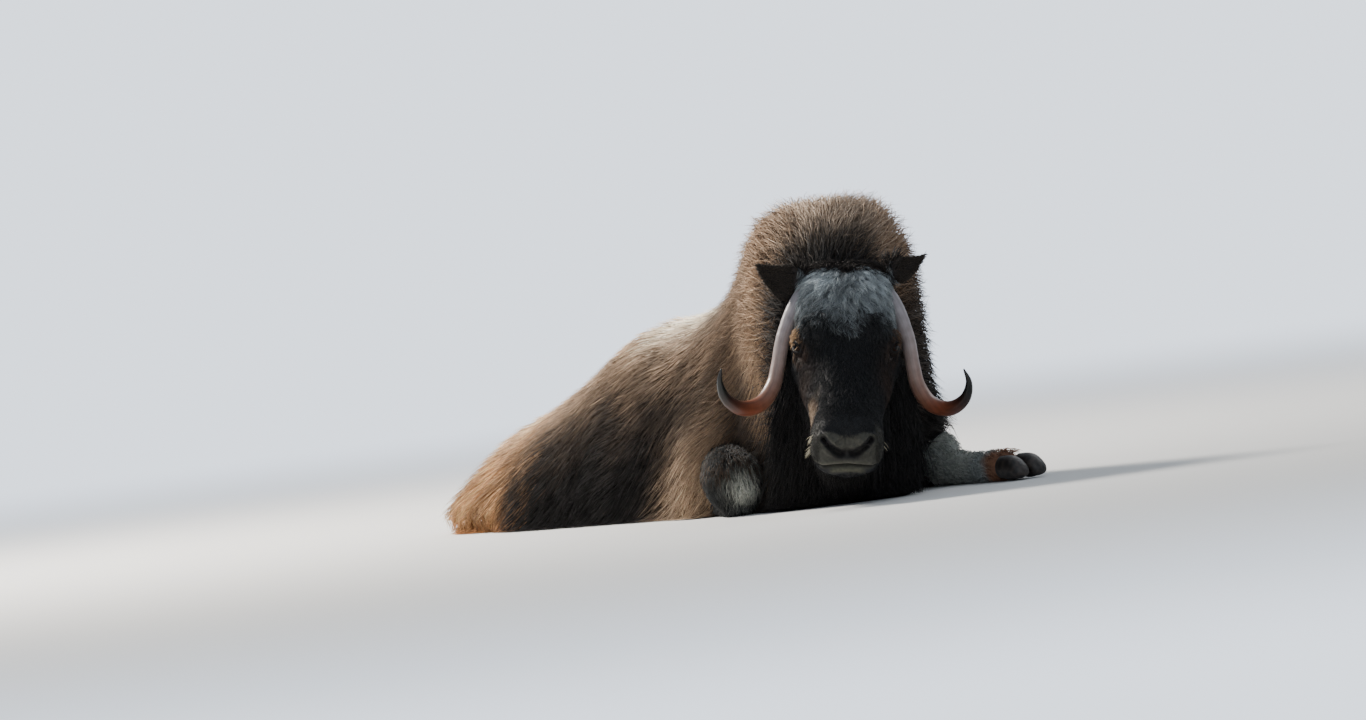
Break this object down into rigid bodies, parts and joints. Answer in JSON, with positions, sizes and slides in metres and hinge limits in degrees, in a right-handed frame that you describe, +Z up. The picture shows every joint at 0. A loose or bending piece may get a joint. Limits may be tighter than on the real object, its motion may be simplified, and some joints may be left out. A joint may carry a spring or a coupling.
{
  "type": "muskox cow lying at rest",
  "caption": "Life-size muskox cow lying with its head turned to the right, long shaggy coat to the floor, slender down-curved horns.",
  "frame": {"origin": "on the floor plane, on the midline under the animal's belly", "axes": "+Z up from the floor, -Y from the rump towards the chest, -X to the animal's right, to which its head is turned"},
  "size_m": [0.9043, 1.959, 0.689],
  "materials": {
    "coat": "matt, long grizzled brown hair, cream saddle",
    "face_hair": "matt dark hair, pale curly forehead and lips",
    "leg_hair": "matt, short grey-white hair",
    "horn": "satin horn, grey-lilac to red-brown, black tips",
    "hoof": "satin dark horn",
    "eye": "wet gloss, dark brown"
  },
  "bodies": {
    "root": {"neck": "coat", "chest": "coat", "barrel": "coat", "hindquarters": "coat", "tail": "coat", "head": "face_hair", "ear_left": "face_hair", "ear_right": "face_hair", "forearm_right": "leg_hair", "cannon_fore_right": "leg_hair", "forearm_left": "leg_hair", "cannon_fore_left": "leg_hair", "cannon_hind_left": "leg_hair", "cannon_hind_right": "leg_hair", "hoof_fore_right_a": "hoof", "hoof_fore_right_b": "hoof", "hoof_fore_left_a": "hoof", "hoof_fore_left_b": "hoof", "hoof_hind_left_a": "hoof", "hoof_hind_left_b": "hoof", "hoof_hind_right_a": "hoof", "hoof_hind_right_b": "hoof", "horn_left": "horn", "horn_right": "horn", "eye_left": "eye", "eye_right": "eye"}
  },
  "joints": []
}
